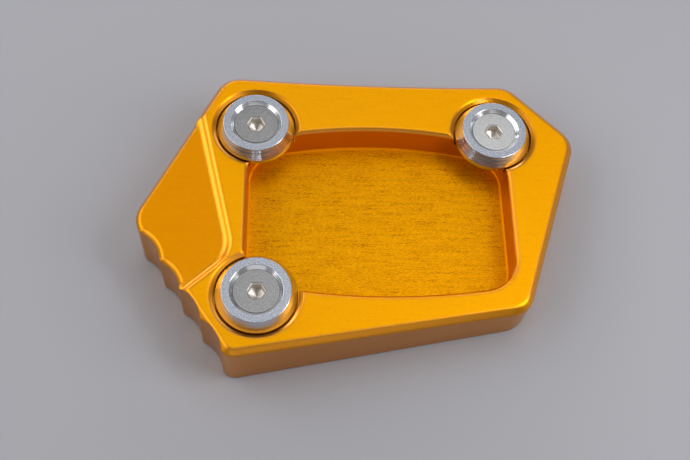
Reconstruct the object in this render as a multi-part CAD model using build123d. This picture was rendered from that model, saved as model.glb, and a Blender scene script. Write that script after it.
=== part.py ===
"""Foot enlarger for a motorcycle side stand: a milled wedge plate with three clamp washers and screws.

The foot of the stand lies in the plate's pocket, and the three washers overlap its rim and clamp it.
Every feature is drawn in plan on the sloping top face, from the middle of the pocket: X runs along the
pocket to the thin end, Y to the rear and Z out of the top face. The finished part stands on z = 0.
"""
from build123d import *
import math
import os

# Plate: heights and bevels
wedge_angle = 4.0             # slope of the top face, falling to the thin end
pocket_height = 16.0          # top face over the ground, at the middle of the pocket
top_chamfer = 1.5             # bevel around the top face
sole_chamfer = 0.5            # edge break around the sole
bevel_angle = 45.0            # slope of the bevels around the top faces and the pocket

# Plate: corners of the outline before rounding, from the middle of the pocket
rear_left_x, rear_left_y = -42.2, 41.5
rear_right_x, rear_right_y = 38.1, 41.0
right_x, right_y = 55.9, 23.2
front_right_x, front_right_y = 38.3, -28.4
front_left_x, front_left_y = -39.0, -41.4
nose_x, nose_y = -65.1, -3.4
rear_hollow = 0.9             # how far the rear edge bows inwards
corner_radius = 7.0
front_left_radius = 4.0
scallop_count = 4             # finger scallops between the nose and the front left corner
scallop_depth = 1.3

# Nose: the lower step on the left, milled with a round-cornered cutter
step_depth = 1.5
cove_radius = 3.0
step_edge_radius = 2.2        # rounding of the step's upper edge
step_corner_radius = 10.0
step_rear_lean = 13.0         # rear run of the step, turned from Y
step_front_turn = 42.0        # front run of the step, turned from X
step_from_rear_screw = 12.9
step_from_front_screw = 11.9
nose_chamfer = 1.0

# Pocket for the stand's own foot
pocket_left = 35.2            # from the middle of the pocket to its left wall
pocket_right = 35.7           # and to its right wall
pocket_width = 49.3           # between the tops of both arched sides
pocket_rear_arch = 4.9
pocket_front_arch = 3.6
pocket_corner_radius = 9.5
pocket_depth = 9.6
pocket_floor_radius = 0.4
pocket_chamfer = 0.8

# Clamp positions and their counterbores
rear_left_screw_x, rear_left_screw_y = -33.3, 24.9
rear_right_screw_x, rear_right_screw_y = 32.6, 24.4
front_left_screw_x, front_left_screw_y = -32.0, -24.5
counterbore_clearance = 0.4   # around the washer
counterbore_depth = 3.9
counterbore_chamfer = 1.0

# Clamp washer, turned: a steep cone over a short rim
washer_diameter = 21.2
washer_top_diameter = 17.7
washer_height = 6.0
washer_rim = 1.1              # cylinder between the cone and the lower bevel
washer_bevel = 1.9            # lower bevel that presses on the edge of the foot
bore_clearance = 0.3
countersink_diameter = 13.8

# Countersunk screw with a hexagon socket, M6 x 12
thread_diameter = 6.0
screw_length = 12.0
head_diameter = 12.0
socket_width = 4.0
socket_depth = 2.6
socket_mouth = 0.3            # bevel around the mouth of the socket
socket_point = 1.0            # drilled point below the socket
seat_clearance = 0.02         # between the head's cone and the countersink
thread_clearance = 0.05
hole_spare = 0.8              # tapped hole beyond the tip of the screw

# Values that follow from the ones above
blank_depth = 3 * pocket_height
counterbore_radius = washer_diameter / 2 + counterbore_clearance
head_top = washer_height - counterbore_depth - (countersink_diameter - head_diameter) / 2
screw_tip = head_top - screw_length
clamps = {
    "rear_left": Vector(rear_left_screw_x, rear_left_screw_y),
    "rear_right": Vector(rear_right_screw_x, rear_right_screw_y),
    "front_left": Vector(front_left_screw_x, front_left_screw_y),
}


def direction(angle):
    return Vector(math.cos(math.radians(angle)), math.sin(math.radians(angle)))


def plain_outline():
    """Plan of the plate without the scallops: five straight sides and the hollow rear edge."""
    rear_left = Vector(rear_left_x, rear_left_y)
    rear_right = Vector(rear_right_x, rear_right_y)
    front_left = Vector(front_left_x, front_left_y)
    others = [Vector(nose_x, nose_y), front_left, Vector(front_right_x, front_right_y), Vector(right_x, right_y)]
    middle = (rear_left + rear_right) * 0.5 - Vector(0, rear_hollow)
    rear = ThreePointArc(rear_right, middle, rear_left)
    face = make_face([rear, Polyline(rear_left, *others, rear_right)])
    sharp = face.vertices().sort_by_distance(front_left)
    face = fillet(sharp[0], front_left_radius)
    corners = [rear_left, rear_right, *others]
    corners.remove(front_left)
    return fillet([face.vertices().sort_by_distance(corner)[0] for corner in corners], corner_radius)


def scallop_discs(outline):
    """Circles that cut equal scallops along the straight side between the nose and the front left corner."""
    nose = Vector(nose_x, nose_y)
    front_left = Vector(front_left_x, front_left_y)
    side = outline.edges().filter_by(GeomType.LINE).sort_by_distance((nose + front_left) * 0.5)[0]
    radius = ((side.length / scallop_count) ** 2 / 4 + scallop_depth**2) / (2 * scallop_depth)
    along = (front_left - nose).normalized()
    outward = Vector(along.Y, -along.X) * (radius - scallop_depth)
    middles = [side.position_at((i + 0.5) / scallop_count) for i in range(scallop_count)]
    return [Pos(*(middle + outward)) * Circle(radius) for middle in middles]


def step_lines():
    """Corner where the step's two inner sides would meet, and the directions in which they run out."""
    rear_run = direction(90 + step_rear_lean)
    front_run = direction(180 + step_front_turn)
    rear_point = clamps["rear_left"] + direction(180 + step_rear_lean) * step_from_rear_screw
    front_point = clamps["front_left"] + direction(90 + step_front_turn) * step_from_front_screw
    gap = front_point - rear_point
    turn = rear_run.cross(front_run).Z
    corner = rear_point + rear_run * (gap.cross(front_run).Z / turn)
    return corner, rear_run, front_run


def nose_cutter():
    """The whole nose to the depth of the blank, with the cove of the step along its two inner sides."""
    corner, rear_run, front_run = step_lines()
    reach = 2 * (pocket_left + pocket_right)
    far = [corner + rear_run * reach, corner + (rear_run + front_run) * reach, corner + front_run * reach]
    face = make_face(Polyline(corner, *far, close=True))
    face = fillet(face.vertices().sort_by_distance(corner)[0], step_corner_radius)
    block = Pos(0, 0, -step_depth) * extrude(face, step_depth + 2 * cove_radius)
    block = fillet(block.faces().sort_by(Axis.Z)[0].edges().sort_by_distance(corner)[:3], cove_radius)
    return block + extrude(block.faces().sort_by(Axis.Z)[0], blank_depth, dir=(0, 0, -1))


def pocket_cutter():
    """The arched pocket with its floor corner and its bevelled mouth."""
    top = pocket_width / 2
    rear_end = top - pocket_rear_arch
    front_end = pocket_front_arch - top
    rear = ThreePointArc((pocket_right, rear_end), (0, top), (-pocket_left, rear_end))
    front = ThreePointArc((-pocket_left, front_end), (0, -top), (pocket_right, front_end))
    face = make_face([rear, Line(rear @ 1, front @ 0), front, Line(front @ 1, rear @ 0)])
    face = fillet(face.vertices(), pocket_corner_radius)
    well = Pos(0, 0, -pocket_depth) * extrude(face, pocket_depth + pocket_chamfer)
    well = fillet(well.faces().sort_by(Axis.Z)[0].edges(), pocket_floor_radius)
    mouth = Pos(0, 0, -pocket_chamfer) * extrude(face, 2 * pocket_chamfer, taper=-bevel_angle)
    return well + mouth


def turned(*profile):
    """Solid of revolution about Z from (radius, height) points."""
    return revolve(Plane.XZ * make_face(Polyline(*profile, close=True)), Axis.Z)


def clamp_cutter():
    """One counterbore with its bevelled mouth, and the tapped hole below it."""
    radius = counterbore_radius
    hole = thread_diameter / 2 + thread_clearance
    bottom = screw_tip - hole_spare
    return turned(
        (0, bottom),
        (hole, bottom),
        (hole, -counterbore_depth),
        (radius, -counterbore_depth),
        (radius, -counterbore_chamfer),
        (radius + 2 * counterbore_chamfer, counterbore_chamfer),
        (0, counterbore_chamfer),
    )


def bevelled_slab(face, top, bevel):
    """The face drawn down from the height top, with a bevel around its upper side."""
    level = Pos(0, 0, top - bevel)
    return level * extrude(face, bevel, taper=bevel_angle) + level * extrude(face, -blank_depth)


def base_plate():
    outline = plain_outline()
    scalloped = outline
    plate = bevelled_slab(outline, 0, top_chamfer)
    for disc in scallop_discs(outline):
        scalloped -= disc
        plate -= extrude(disc, -2 * blank_depth)
    plate -= nose_cutter()
    corner = step_lines()[0]
    upper_edge = plate.faces().sort_by(Axis.Z)[-1].edges().sort_by_distance(corner)[:3]
    plate = fillet(upper_edge, step_edge_radius)
    plate += bevelled_slab(scalloped, -step_depth, nose_chamfer)
    plate -= pocket_cutter()
    for point in clamps.values():
        plate -= Pos(*point) * clamp_cutter()
    return plate


def clamp_washer():
    top = washer_height
    rim = washer_diameter / 2
    bore = thread_diameter / 2 + bore_clearance
    sink = countersink_diameter / 2
    washer = turned(
        (bore, 0),
        (rim - washer_bevel, 0),
        (rim, washer_bevel),
        (rim, washer_bevel + washer_rim),
        (washer_top_diameter / 2, top),
        (sink, top),
        (bore, top - sink + bore),
    )
    return Pos(0, 0, -counterbore_depth) * washer


def clamp_screw():
    shank = thread_diameter / 2
    head = head_diameter / 2 - seat_clearance
    neck = head_top - head + shank
    body = turned(
        (0, screw_tip),
        (shank, screw_tip),
        (shank, neck),
        (head, head_top),
        (0, head_top),
    )
    corner = socket_width / math.sqrt(3)
    hexagon = RegularPolygon(corner, 6)
    socket = extrude(hexagon, -socket_depth)
    mouth = Pos(0, 0, -socket_mouth) * extrude(hexagon, 2 * socket_mouth, taper=-bevel_angle)
    drilled = turned((0, -socket_depth - socket_point), (socket_width / 2, -socket_depth), (0, -socket_depth))
    return body - Pos(0, 0, head_top) * (socket + mouth + drilled)


slope = math.radians(wedge_angle)
top_face = Plane(
    origin=(0, 0, pocket_height),
    x_dir=(math.cos(slope), 0, -math.sin(slope)),
    z_dir=(math.sin(slope), 0, math.cos(slope)),
)
plate = split(top_face * base_plate(), bisect_by=Plane.XY, keep=Keep.TOP)
plate = chamfer(plate.faces().sort_by(Axis.Z)[0].edges(), sole_chamfer)

# The part's origin lies on the ground, under the middle of its bounding box
middle = plate.bounding_box().center()
place = Pos(-middle.X, -middle.Y, 0)
nodes = {"base_plate": place * plate}
for name, point in clamps.items():
    spot = place * top_face.location * Pos(*point)
    nodes["clamp_washer_" + name] = spot * clamp_washer()
    nodes["clamp_screw_" + name] = spot * clamp_screw()

os.makedirs("parts", exist_ok=True)
for name, solid in nodes.items():
    export_step(solid, f"parts/{name}.step")
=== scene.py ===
import math

import bpy
from mathutils import Matrix, Vector

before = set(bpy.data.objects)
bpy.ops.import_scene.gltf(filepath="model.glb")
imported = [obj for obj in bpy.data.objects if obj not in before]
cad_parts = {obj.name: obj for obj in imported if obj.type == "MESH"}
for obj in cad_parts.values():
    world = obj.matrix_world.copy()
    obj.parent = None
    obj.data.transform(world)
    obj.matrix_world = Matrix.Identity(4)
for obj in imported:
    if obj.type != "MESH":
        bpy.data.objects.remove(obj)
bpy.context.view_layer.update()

# Metres in a millimetre: the lengths below are in millimetres
MM = 0.001

# Camera in the part's frame: it looks down on the plate from in front
CAMERA_PLACE = Vector((-6.06, -120.13, 247.16))
CAMERA_TARGET = Vector((-3.99, -7.53, 18.75))
CAMERA_ROLL = math.radians(0.26)
FOCAL_PIXELS = 980
IMAGE_WIDTH = 690
SENSOR_WIDTH = 36.0
CLIP_START = 10

# Plate: the top face slopes, and the middle of the pocket's mouth lies on it
WEDGE = math.radians(4.0)
TOP_AT = Vector((5.29, -0.13, 16.0))
TOP_NORMAL = Vector((math.sin(WEDGE), 0, math.cos(WEDGE)))
STEP_DEPTH = 1.5
POCKET_DEPTH = 9.6
POCKET_ROUNDING = 0.4

# Screws: their axes from the middle of the pocket, and the height of their heads over the top face
SCREW_AXES = ((-33.3, 24.9), (32.6, 24.4), (-32.0, -24.5))
HEAD_TOP = 1.2

# Rounding of the edges: blasting softens the plate, and turning leaves the washers and screws sharper
PLATE_EDGE = 1.2
WASHER_EDGE = 0.25
SCREW_EDGE = 0.15

# Distances from a screw's axis: the plate's edges stay sharp up to the first and are rounded from the second
LIP_SHARP = 11.5
LIP_ROUND = 11.9

# Depth from which the pocket's walls grow duller
DULL_FROM = 2.0

# Patterns on the gold plate
GRAIN_LENGTH = 0.6
GRAIN_WIDTH = 0.18
MARK_LENGTH = 1.0
MARK_WIDTH = 0.2
ROW_LENGTH = 25 / 3
ROW_SPACING = 0.8
BLAST_SIZE = 0.4

# Patterns on the washers and screws
TOOL_FEED = 0.9
PIT_SIZE = 0.35
BLOTCH_SIZE = 0.5
FACING_FEED = 0.3

# Turns, in radians, that keep the noise's own grid from lining up with the flat faces
GRAIN_TURN = (0.6, 0.5, 0.7)
MARK_TURN = (0.5, 0.7, 0.6)

# Colours
GOLD_TOP = "#FCB200"
# The lower nose is painted a darker gold than the top: painted shade
GOLD_NOSE = "#EE9D00"
# The pocket floor is painted a lighter gold: painted light against the pocket's shade, which also offsets
# its heavier stain
GOLD_POCKET = "#FFB900"
GOLD_SLOPE = "#FAA200"
# The upright walls are painted a darker gold than the slopes: painted shade
GOLD_WALL = "#DA8C00"
GOLD_STAIN = "#B45400"
WASHER_POLISHED = "#D2D2D6"
WASHER_PIT = "#99A0AE"
WASHER_BLASTED = "#C5C9D2"
SCREW_DULL = "#7C7C7D"
SCREW_BRIGHT = "#D6D6D7"
SCREW_RIM = "#5A5856"
SCREW_SOCKET = "#E6E0D8"
FLOOR_GREY = "#A8A8AE"

# Floor: it lies a hair below the sole, so that the two faces don't coincide
FLOOR_SIZE = 6000
FLOOR_DROP = 0.1


def linear(hex_colour):
    """Linear RGBA of an sRGB hex colour."""
    parts = [int(hex_colour[i:i + 2], 16) / 255 for i in (1, 3, 5)]
    return tuple(c / 12.92 if c <= 0.04045 else ((c + 0.055) / 1.055) ** 2.4 for c in parts) + (1.0,)


def new_material(name):
    material = bpy.data.materials.new(name)
    material.use_nodes = True
    return material, material.node_tree.nodes["Principled BSDF"]


def feed(material, node, inputs):
    """Gives a node's inputs, by name or number, a value, a socket or the first output of another node."""
    for name, source in dict(inputs).items():
        if isinstance(source, bpy.types.Node):
            source = next(output for output in source.outputs if output.enabled)
        if isinstance(source, bpy.types.NodeSocket):
            material.node_tree.links.new(source, node.inputs[name])
        else:
            node.inputs[name].default_value = source


def add(material, kind, inputs=(), **settings):
    """Adds a node with its settings and feeds its inputs."""
    node = material.node_tree.nodes.new(kind)
    for name, value in settings.items():
        setattr(node, name, value)
    feed(material, node, inputs)
    return node


def top_frame(material, edge):
    """Place in millimetres in the frame of the top face, the normal with rounded edges, and its facing.

    The facing is 1 where that normal points straight out of the top face and 0 where it lies along it.
    """
    coords = add(material, "ShaderNodeTexCoord")
    place = add(material, "ShaderNodeMapping", {
        "Vector": coords.outputs["Object"], "Location": TOP_AT * MM,
        "Rotation": (0, WEDGE, 0), "Scale": (MM, MM, MM)}, vector_type="TEXTURE")
    normal = add(material, "ShaderNodeBevel", {"Radius": edge * MM}, samples=8)
    turned = add(material, "ShaderNodeVectorTransform", {"Vector": normal},
                 vector_type="NORMAL", convert_from="WORLD", convert_to="OBJECT")
    facing = add(material, "ShaderNodeVectorMath", {0: turned, 1: TOP_NORMAL}, operation="DOT_PRODUCT")
    return place, normal, facing


def axis_distance(material, place):
    """Distance in millimetres from the nearest screw axis, along the top face."""
    plan = add(material, "ShaderNodeVectorMath", {0: place, 1: (1, 1, 0)}, operation="MULTIPLY")
    nearest = None
    for x, y in SCREW_AXES:
        span = add(material, "ShaderNodeVectorMath", {0: plan, 1: (x, y, 0)}, operation="DISTANCE")
        if nearest is not None:
            span = add(material, "ShaderNodeMath", {0: nearest, 1: span}, operation="MINIMUM")
        nearest = span
    return nearest


def gold_anodised():
    # Milled aluminium, blasted and anodised gold: satin flat faces with a fine grain, glossier and more
    # orange slopes and walls, the walls painted a darker gold as painted shade, and the cutter's dark feed
    # marks on the pocket floor
    material, shader = new_material("gold_anodised_milled_aluminium")
    place, normal, facing = top_frame(material, PLATE_EDGE)
    depth = add(material, "ShaderNodeSeparateXYZ", {"Vector": place}).outputs["Z"]

    # Where the plate is flat, where it is upright, its pocket floor and its lower nose
    flat = add(material, "ShaderNodeMapRange", {"Value": facing, "From Min": 0.970, "From Max": 0.998})
    upright = add(material, "ShaderNodeMapRange", {
        "Value": facing, "From Min": 0.15, "From Max": 0.55, "To Min": 1.0, "To Max": 0.0})
    floor = add(material, "ShaderNodeMapRange", {
        "Value": depth, "From Min": POCKET_ROUNDING - POCKET_DEPTH,
        "From Max": POCKET_ROUNDING / 2 - POCKET_DEPTH})
    lower = add(material, "ShaderNodeMapRange", {
        "Value": depth, "From Min": 0.1 - STEP_DEPTH, "From Max": 0.5 - STEP_DEPTH,
        "To Min": 1.0, "To Max": 0.0})
    nose = add(material, "ShaderNodeMath", {0: lower, 1: floor}, operation="SUBTRACT")

    # The pocket's walls, which look towards its middle, are duller at the foot
    looking = add(material, "ShaderNodeTexCoord").outputs["Normal"]
    away = add(material, "ShaderNodeVectorMath", {0: looking, 1: place}, operation="DOT_PRODUCT")
    inner = add(material, "ShaderNodeMath", {0: away, 1: 0.0}, operation="LESS_THAN")
    deep = add(material, "ShaderNodeMapRange", {
        "Value": depth, "From Min": -POCKET_DEPTH, "From Max": -DULL_FROM, "To Min": 1.0, "To Max": 0.0})
    foot = add(material, "ShaderNodeMath", {0: inner, 1: deep}, operation="MULTIPLY")

    # Fine grain of the flat faces, drawn coarser than it is so that it shows
    grain_at = add(material, "ShaderNodeMapping", {
        "Vector": place, "Rotation": GRAIN_TURN,
        "Scale": (1 / GRAIN_LENGTH, 1 / GRAIN_WIDTH, 1 / GRAIN_WIDTH)})
    grain = add(material, "ShaderNodeTexNoise", {
        "Vector": grain_at, "Scale": 1.0, "Detail": 2.0, "Roughness": 0.6})
    grain = add(material, "ShaderNodeMapRange", {"Value": grain, "From Min": 0.36, "From Max": 0.64})

    # Feed marks of the cutter in darker rows, drawn coarser than they are so that they show
    rows_at = add(material, "ShaderNodeMapping", {
        "Vector": place, "Scale": (1 / ROW_LENGTH, 1 / ROW_SPACING, 1 / ROW_SPACING)})
    rows = add(material, "ShaderNodeTexNoise", {"Vector": rows_at, "Scale": 1.0, "Detail": 2.0})
    rows = add(material, "ShaderNodeMapRange", {"Value": rows, "From Min": 0.42, "From Max": 0.80})
    marks_at = add(material, "ShaderNodeMapping", {
        "Vector": place, "Rotation": MARK_TURN,
        "Scale": (1 / MARK_LENGTH, 1 / MARK_WIDTH, 1 / MARK_WIDTH)})
    marks = add(material, "ShaderNodeTexNoise", {"Vector": marks_at, "Scale": 1.0, "Detail": 2.0})
    marks = add(material, "ShaderNodeMapRange", {"Value": marks, "From Min": 0.45, "From Max": 0.65})
    marked = add(material, "ShaderNodeMath", {0: rows, 1: marks}, operation="MULTIPLY")

    # Both are strong on the pocket floor and faint on the other flat faces
    lined = add(material, "ShaderNodeMath", {0: grain, 1: 0.45, 2: marked}, operation="MULTIPLY_ADD")
    spread = add(material, "ShaderNodeMapRange", {"Value": floor, "To Min": 0.20, "To Max": 1.0})
    lined = add(material, "ShaderNodeMath", {0: lined, 1: spread}, operation="MULTIPLY")

    # Blasted grain of the slopes and walls, drawn coarser than it is so that it shows
    blasted = add(material, "ShaderNodeTexNoise", {"Vector": place, "Scale": 1 / BLAST_SIZE, "Detail": 2.0})
    blasted = add(material, "ShaderNodeMapRange", {
        "Value": blasted, "From Min": 0.35, "From Max": 0.65, "To Max": 0.14})
    stain = add(material, "ShaderNodeMix", {"Factor": flat, "A": blasted, "B": lined}, data_type="FLOAT")

    # Colour: the flat top and the slopes have their own gold; the lower nose and the upright walls are
    # painted darker golds as painted shade, the pocket floor a lighter gold as painted light, and the
    # patterns stain it
    clean = add(material, "ShaderNodeMix", {
        "Factor": nose, "A": linear(GOLD_TOP), "B": linear(GOLD_NOSE)}, data_type="RGBA")
    clean = add(material, "ShaderNodeMix", {
        "Factor": floor, "A": clean, "B": linear(GOLD_POCKET)}, data_type="RGBA")
    side = add(material, "ShaderNodeMix", {
        "Factor": upright, "A": linear(GOLD_SLOPE), "B": linear(GOLD_WALL)}, data_type="RGBA")
    bare = add(material, "ShaderNodeMix", {"Factor": flat, "A": side, "B": clean}, data_type="RGBA")
    colour = add(material, "ShaderNodeMix", {
        "Factor": stain, "A": bare, "B": linear(GOLD_STAIN)}, data_type="RGBA")

    # Gloss: the sealed layer shows on the slopes, less on the walls and hardly on the flat faces
    wall_rough = add(material, "ShaderNodeMapRange", {"Value": foot, "To Min": 0.30, "To Max": 0.58})
    rough = add(material, "ShaderNodeMix", {"Factor": flat, "A": wall_rough, "B": 0.58}, data_type="FLOAT")
    sealed = add(material, "ShaderNodeMapRange", {"Value": flat, "To Min": 0.42, "To Max": 0.02})
    sealed = add(material, "ShaderNodeMix", {"Factor": upright, "A": sealed, "B": 0.15}, data_type="FLOAT")
    sealed = add(material, "ShaderNodeMix", {"Factor": foot, "A": sealed, "B": 0.02}, data_type="FLOAT")

    # The lower half of the counterbores' bevels stays sharp, so that the gap round the washers is narrow
    lip = add(material, "ShaderNodeMapRange", {
        "Value": axis_distance(material, place), "From Min": LIP_SHARP, "From Max": LIP_ROUND})
    plain = add(material, "ShaderNodeNewGeometry").outputs["Normal"]
    edged = add(material, "ShaderNodeMix", {"Factor": lip, "A": plain, "B": normal}, data_type="VECTOR")
    relief = add(material, "ShaderNodeBump", {
        "Height": stain, "Strength": 0.15, "Distance": 0.05 * MM, "Normal": edged})

    feed(material, shader, {
        "Base Color": colour, "Metallic": 1.0, "Roughness": rough, "Normal": relief,
        "Coat Weight": sealed, "Coat Roughness": 0.15, "Coat IOR": 1.6})
    return material


def turned_aluminium():
    # Aluminium turned on a lathe: bright cones with tool rings, and a blasted matte top face
    material, shader = new_material("turned_aluminium")
    place, normal, facing = top_frame(material, WASHER_EDGE)
    blasted = add(material, "ShaderNodeMapRange", {"Value": facing, "From Min": 0.96, "From Max": 0.99})

    # Tool rings, drawn much coarser than the real feed so that they show
    height = add(material, "ShaderNodeMapping", {"Vector": place, "Scale": (0, 0, 1 / TOOL_FEED)})
    rings = add(material, "ShaderNodeTexNoise", {"Vector": height, "Scale": 1.0, "Detail": 2.0})

    # Blasting pits, drawn coarser than they are so that they show
    pits = add(material, "ShaderNodeTexNoise", {"Vector": place, "Scale": 1 / PIT_SIZE, "Detail": 2.0})
    mottle = add(material, "ShaderNodeMapRange", {"Value": pits, "From Min": 0.42, "From Max": 0.58})
    matte = add(material, "ShaderNodeMix", {
        "Factor": mottle, "A": linear(WASHER_PIT), "B": linear(WASHER_BLASTED)}, data_type="RGBA")
    shallow = add(material, "ShaderNodeMath", {0: pits, 1: 0.5}, operation="MULTIPLY")

    colour = add(material, "ShaderNodeMix", {
        "Factor": blasted, "A": linear(WASHER_POLISHED), "B": matte}, data_type="RGBA")
    rough = add(material, "ShaderNodeMapRange", {"Value": blasted, "To Min": 0.18, "To Max": 0.45})
    relief = add(material, "ShaderNodeMix", {
        "Factor": blasted, "A": rings, "B": shallow}, data_type="FLOAT")
    bump = add(material, "ShaderNodeBump", {
        "Height": relief, "Strength": 0.8, "Distance": 0.08 * MM, "Normal": normal})
    feed(material, shader, {"Base Color": colour, "Metallic": 1.0, "Roughness": rough, "Normal": bump})
    return material


def stainless_steel():
    # Cold-headed stainless steel: a dull pickled head, a dark grey rim as painted shade where the head meets
    # the washer, and a light sunk socket as painted light in the recess
    material, shader = new_material("pickled_stainless_steel")
    place, normal, facing = top_frame(material, SCREW_EDGE)
    parts = add(material, "ShaderNodeSeparateXYZ", {"Vector": place})
    head = add(material, "ShaderNodeMapRange", {"Value": facing, "From Min": 0.96, "From Max": 0.99})
    sunk = add(material, "ShaderNodeMapRange", {
        "Value": parts.outputs["Z"], "From Min": HEAD_TOP - 0.15, "From Max": HEAD_TOP - 0.02,
        "To Min": 1.0, "To Max": 0.0})

    # Pickled blotches with finer grain in them
    grain = add(material, "ShaderNodeTexNoise", {"Vector": place, "Scale": 1 / BLOTCH_SIZE, "Detail": 4.0})
    mottle = add(material, "ShaderNodeMapRange", {
        "Value": grain, "From Min": 0.35, "From Max": 0.65, "To Max": 0.2})

    # Facing rings around the screw's axis, drawn coarser than they are so that they show
    rings = add(material, "ShaderNodeTexNoise", {
        "W": axis_distance(material, place), "Scale": 1 / FACING_FEED, "Detail": 2.0}, noise_dimensions="1D")
    rings = add(material, "ShaderNodeMapRange", {
        "Value": rings, "From Min": 0.35, "From Max": 0.65, "To Max": 0.12})

    # The right screw has a brighter face than the left ones
    worn = add(material, "ShaderNodeMapRange", {
        "Value": parts.outputs["X"], "From Min": -25.0, "From Max": 25.0, "To Min": 0.12, "To Max": 0.7})

    bright = add(material, "ShaderNodeMath", {0: worn, 1: mottle}, operation="ADD")
    bright = add(material, "ShaderNodeMath", {0: bright, 1: rings}, operation="ADD")
    dull = add(material, "ShaderNodeMix", {
        "Factor": bright, "A": linear(SCREW_DULL), "B": linear(SCREW_BRIGHT)}, data_type="RGBA")
    # The head's edge and sides take a dark grey: painted shade where the head meets the washer
    outside = add(material, "ShaderNodeMix", {
        "Factor": head, "A": linear(SCREW_RIM), "B": dull}, data_type="RGBA")
    # The sunk socket takes a light steel: painted light in the recess
    colour = add(material, "ShaderNodeMix", {
        "Factor": sunk, "A": outside, "B": linear(SCREW_SOCKET)}, data_type="RGBA")
    rough = add(material, "ShaderNodeMapRange", {
        "Value": grain, "From Min": 0.3, "From Max": 0.7, "To Min": 0.36, "To Max": 0.48})
    bump = add(material, "ShaderNodeBump", {
        "Height": grain, "Strength": 0.2, "Distance": 0.05 * MM, "Normal": normal})
    feed(material, shader, {"Base Color": colour, "Metallic": 1.0, "Roughness": rough, "Normal": bump})
    return material


def dress(node, material):
    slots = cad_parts[node].data.materials
    slots.clear()
    slots.append(material)


def add_floor():
    bpy.ops.object.select_all(action="DESELECT")
    bpy.ops.mesh.primitive_plane_add(size=FLOOR_SIZE * MM, location=(0, 0, -FLOOR_DROP * MM))
    floor = bpy.context.object
    floor.name = "floor"
    material, shader = new_material("pale_grey_floor")
    feed(material, shader, {"Base Color": linear(FLOOR_GREY), "Roughness": 0.6})
    floor.data.materials.append(material)


def add_softbox(name, around, rise, distance, size, radiance):
    """A rectangular area light that faces the part, at degrees around from +X and of rise over the floor.

    Its distance and size are in millimetres, and its power gives the radiance whatever its size.
    """
    turn = Matrix.Rotation(math.radians(around), 3, "Z") @ Matrix.Rotation(math.radians(-rise), 3, "Y")
    place = turn @ Vector((distance, 0, 0))
    data = bpy.data.lights.new(name, "AREA")
    data.shape = "RECTANGLE"
    data.size = size[0] * MM
    data.size_y = size[1] * MM
    data.energy = radiance * math.pi * data.size * data.size_y
    light = bpy.data.objects.new(name, data)
    bpy.context.scene.collection.objects.link(light)
    look = (-place).to_track_quat("-Z", "Y").to_matrix().to_4x4()
    light.matrix_world = Matrix.Translation(place * MM) @ look


def add_camera():
    data = bpy.data.cameras.new("camera")
    data.sensor_width = SENSOR_WIDTH
    data.lens = FOCAL_PIXELS / IMAGE_WIDTH * SENSOR_WIDTH
    data.clip_start = CLIP_START * MM
    camera = bpy.data.objects.new("camera", data)
    bpy.context.scene.collection.objects.link(camera)
    look = (CAMERA_TARGET - CAMERA_PLACE).to_track_quat("-Z", "Y").to_matrix().to_4x4()
    roll = Matrix.Rotation(CAMERA_ROLL, 4, "Z")
    camera.matrix_world = Matrix.Translation(CAMERA_PLACE * MM) @ look @ roll
    bpy.context.scene.camera = camera


def add_world():
    """An even grey studio around the lamps, darker around the camera and low down on its side."""
    world = bpy.data.worlds.new("studio")
    bpy.context.scene.world = world
    world.use_nodes = True
    way = add(world, "ShaderNodeTexCoord").outputs["Generated"]
    parts = add(world, "ShaderNodeSeparateXYZ", {"Vector": way})
    high = add(world, "ShaderNodeMapRange", {
        "Value": parts.outputs["Z"], "From Min": 0.05, "From Max": 0.35})
    far = add(world, "ShaderNodeMapRange", {
        "Value": parts.outputs["Y"], "From Min": -0.8, "From Max": -0.3})
    lit = add(world, "ShaderNodeMath", {0: high, 1: far}, operation="MAXIMUM")
    back = (CAMERA_PLACE - CAMERA_TARGET).normalized()
    near = add(world, "ShaderNodeVectorMath", {0: way, 1: back}, operation="DOT_PRODUCT")
    clear = add(world, "ShaderNodeMapRange", {
        "Value": near, "From Min": 0.80, "From Max": 0.97, "To Min": 1.0, "To Max": 0.0})
    lit = add(world, "ShaderNodeMath", {0: lit, 1: clear}, operation="MULTIPLY")
    level = add(world, "ShaderNodeMapRange", {"Value": lit, "To Min": 0.05, "To Max": 0.36})
    feed(world, world.node_tree.nodes["Background"], {"Color": (1, 1, 1, 1), "Strength": level})


bpy.context.scene.view_settings.view_transform = "Standard"

gold = gold_anodised()
washer = turned_aluminium()
steel = stainless_steel()
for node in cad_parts:
    if "washer" in node:
        dress(node, washer)
    elif "screw" in node:
        dress(node, steel)
    else:
        dress(node, gold)

add_floor()
add_camera()
add_world()

# A small bright key on the right, and soft panels all round
add_softbox("key", 3, 58, 450, (75, 75), 11.5)
add_softbox("right", -14, 36, 500, (200, 360), 4.0)
add_softbox("left", 175, 39, 600, (840, 360), 1.8)
add_softbox("rear", 98, 16, 700, (850, 170), 2.6)
add_softbox("top", 65, 69, 600, (300, 300), 1.3)
add_softbox("front", 270, 27, 700, (700, 200), 0.5)
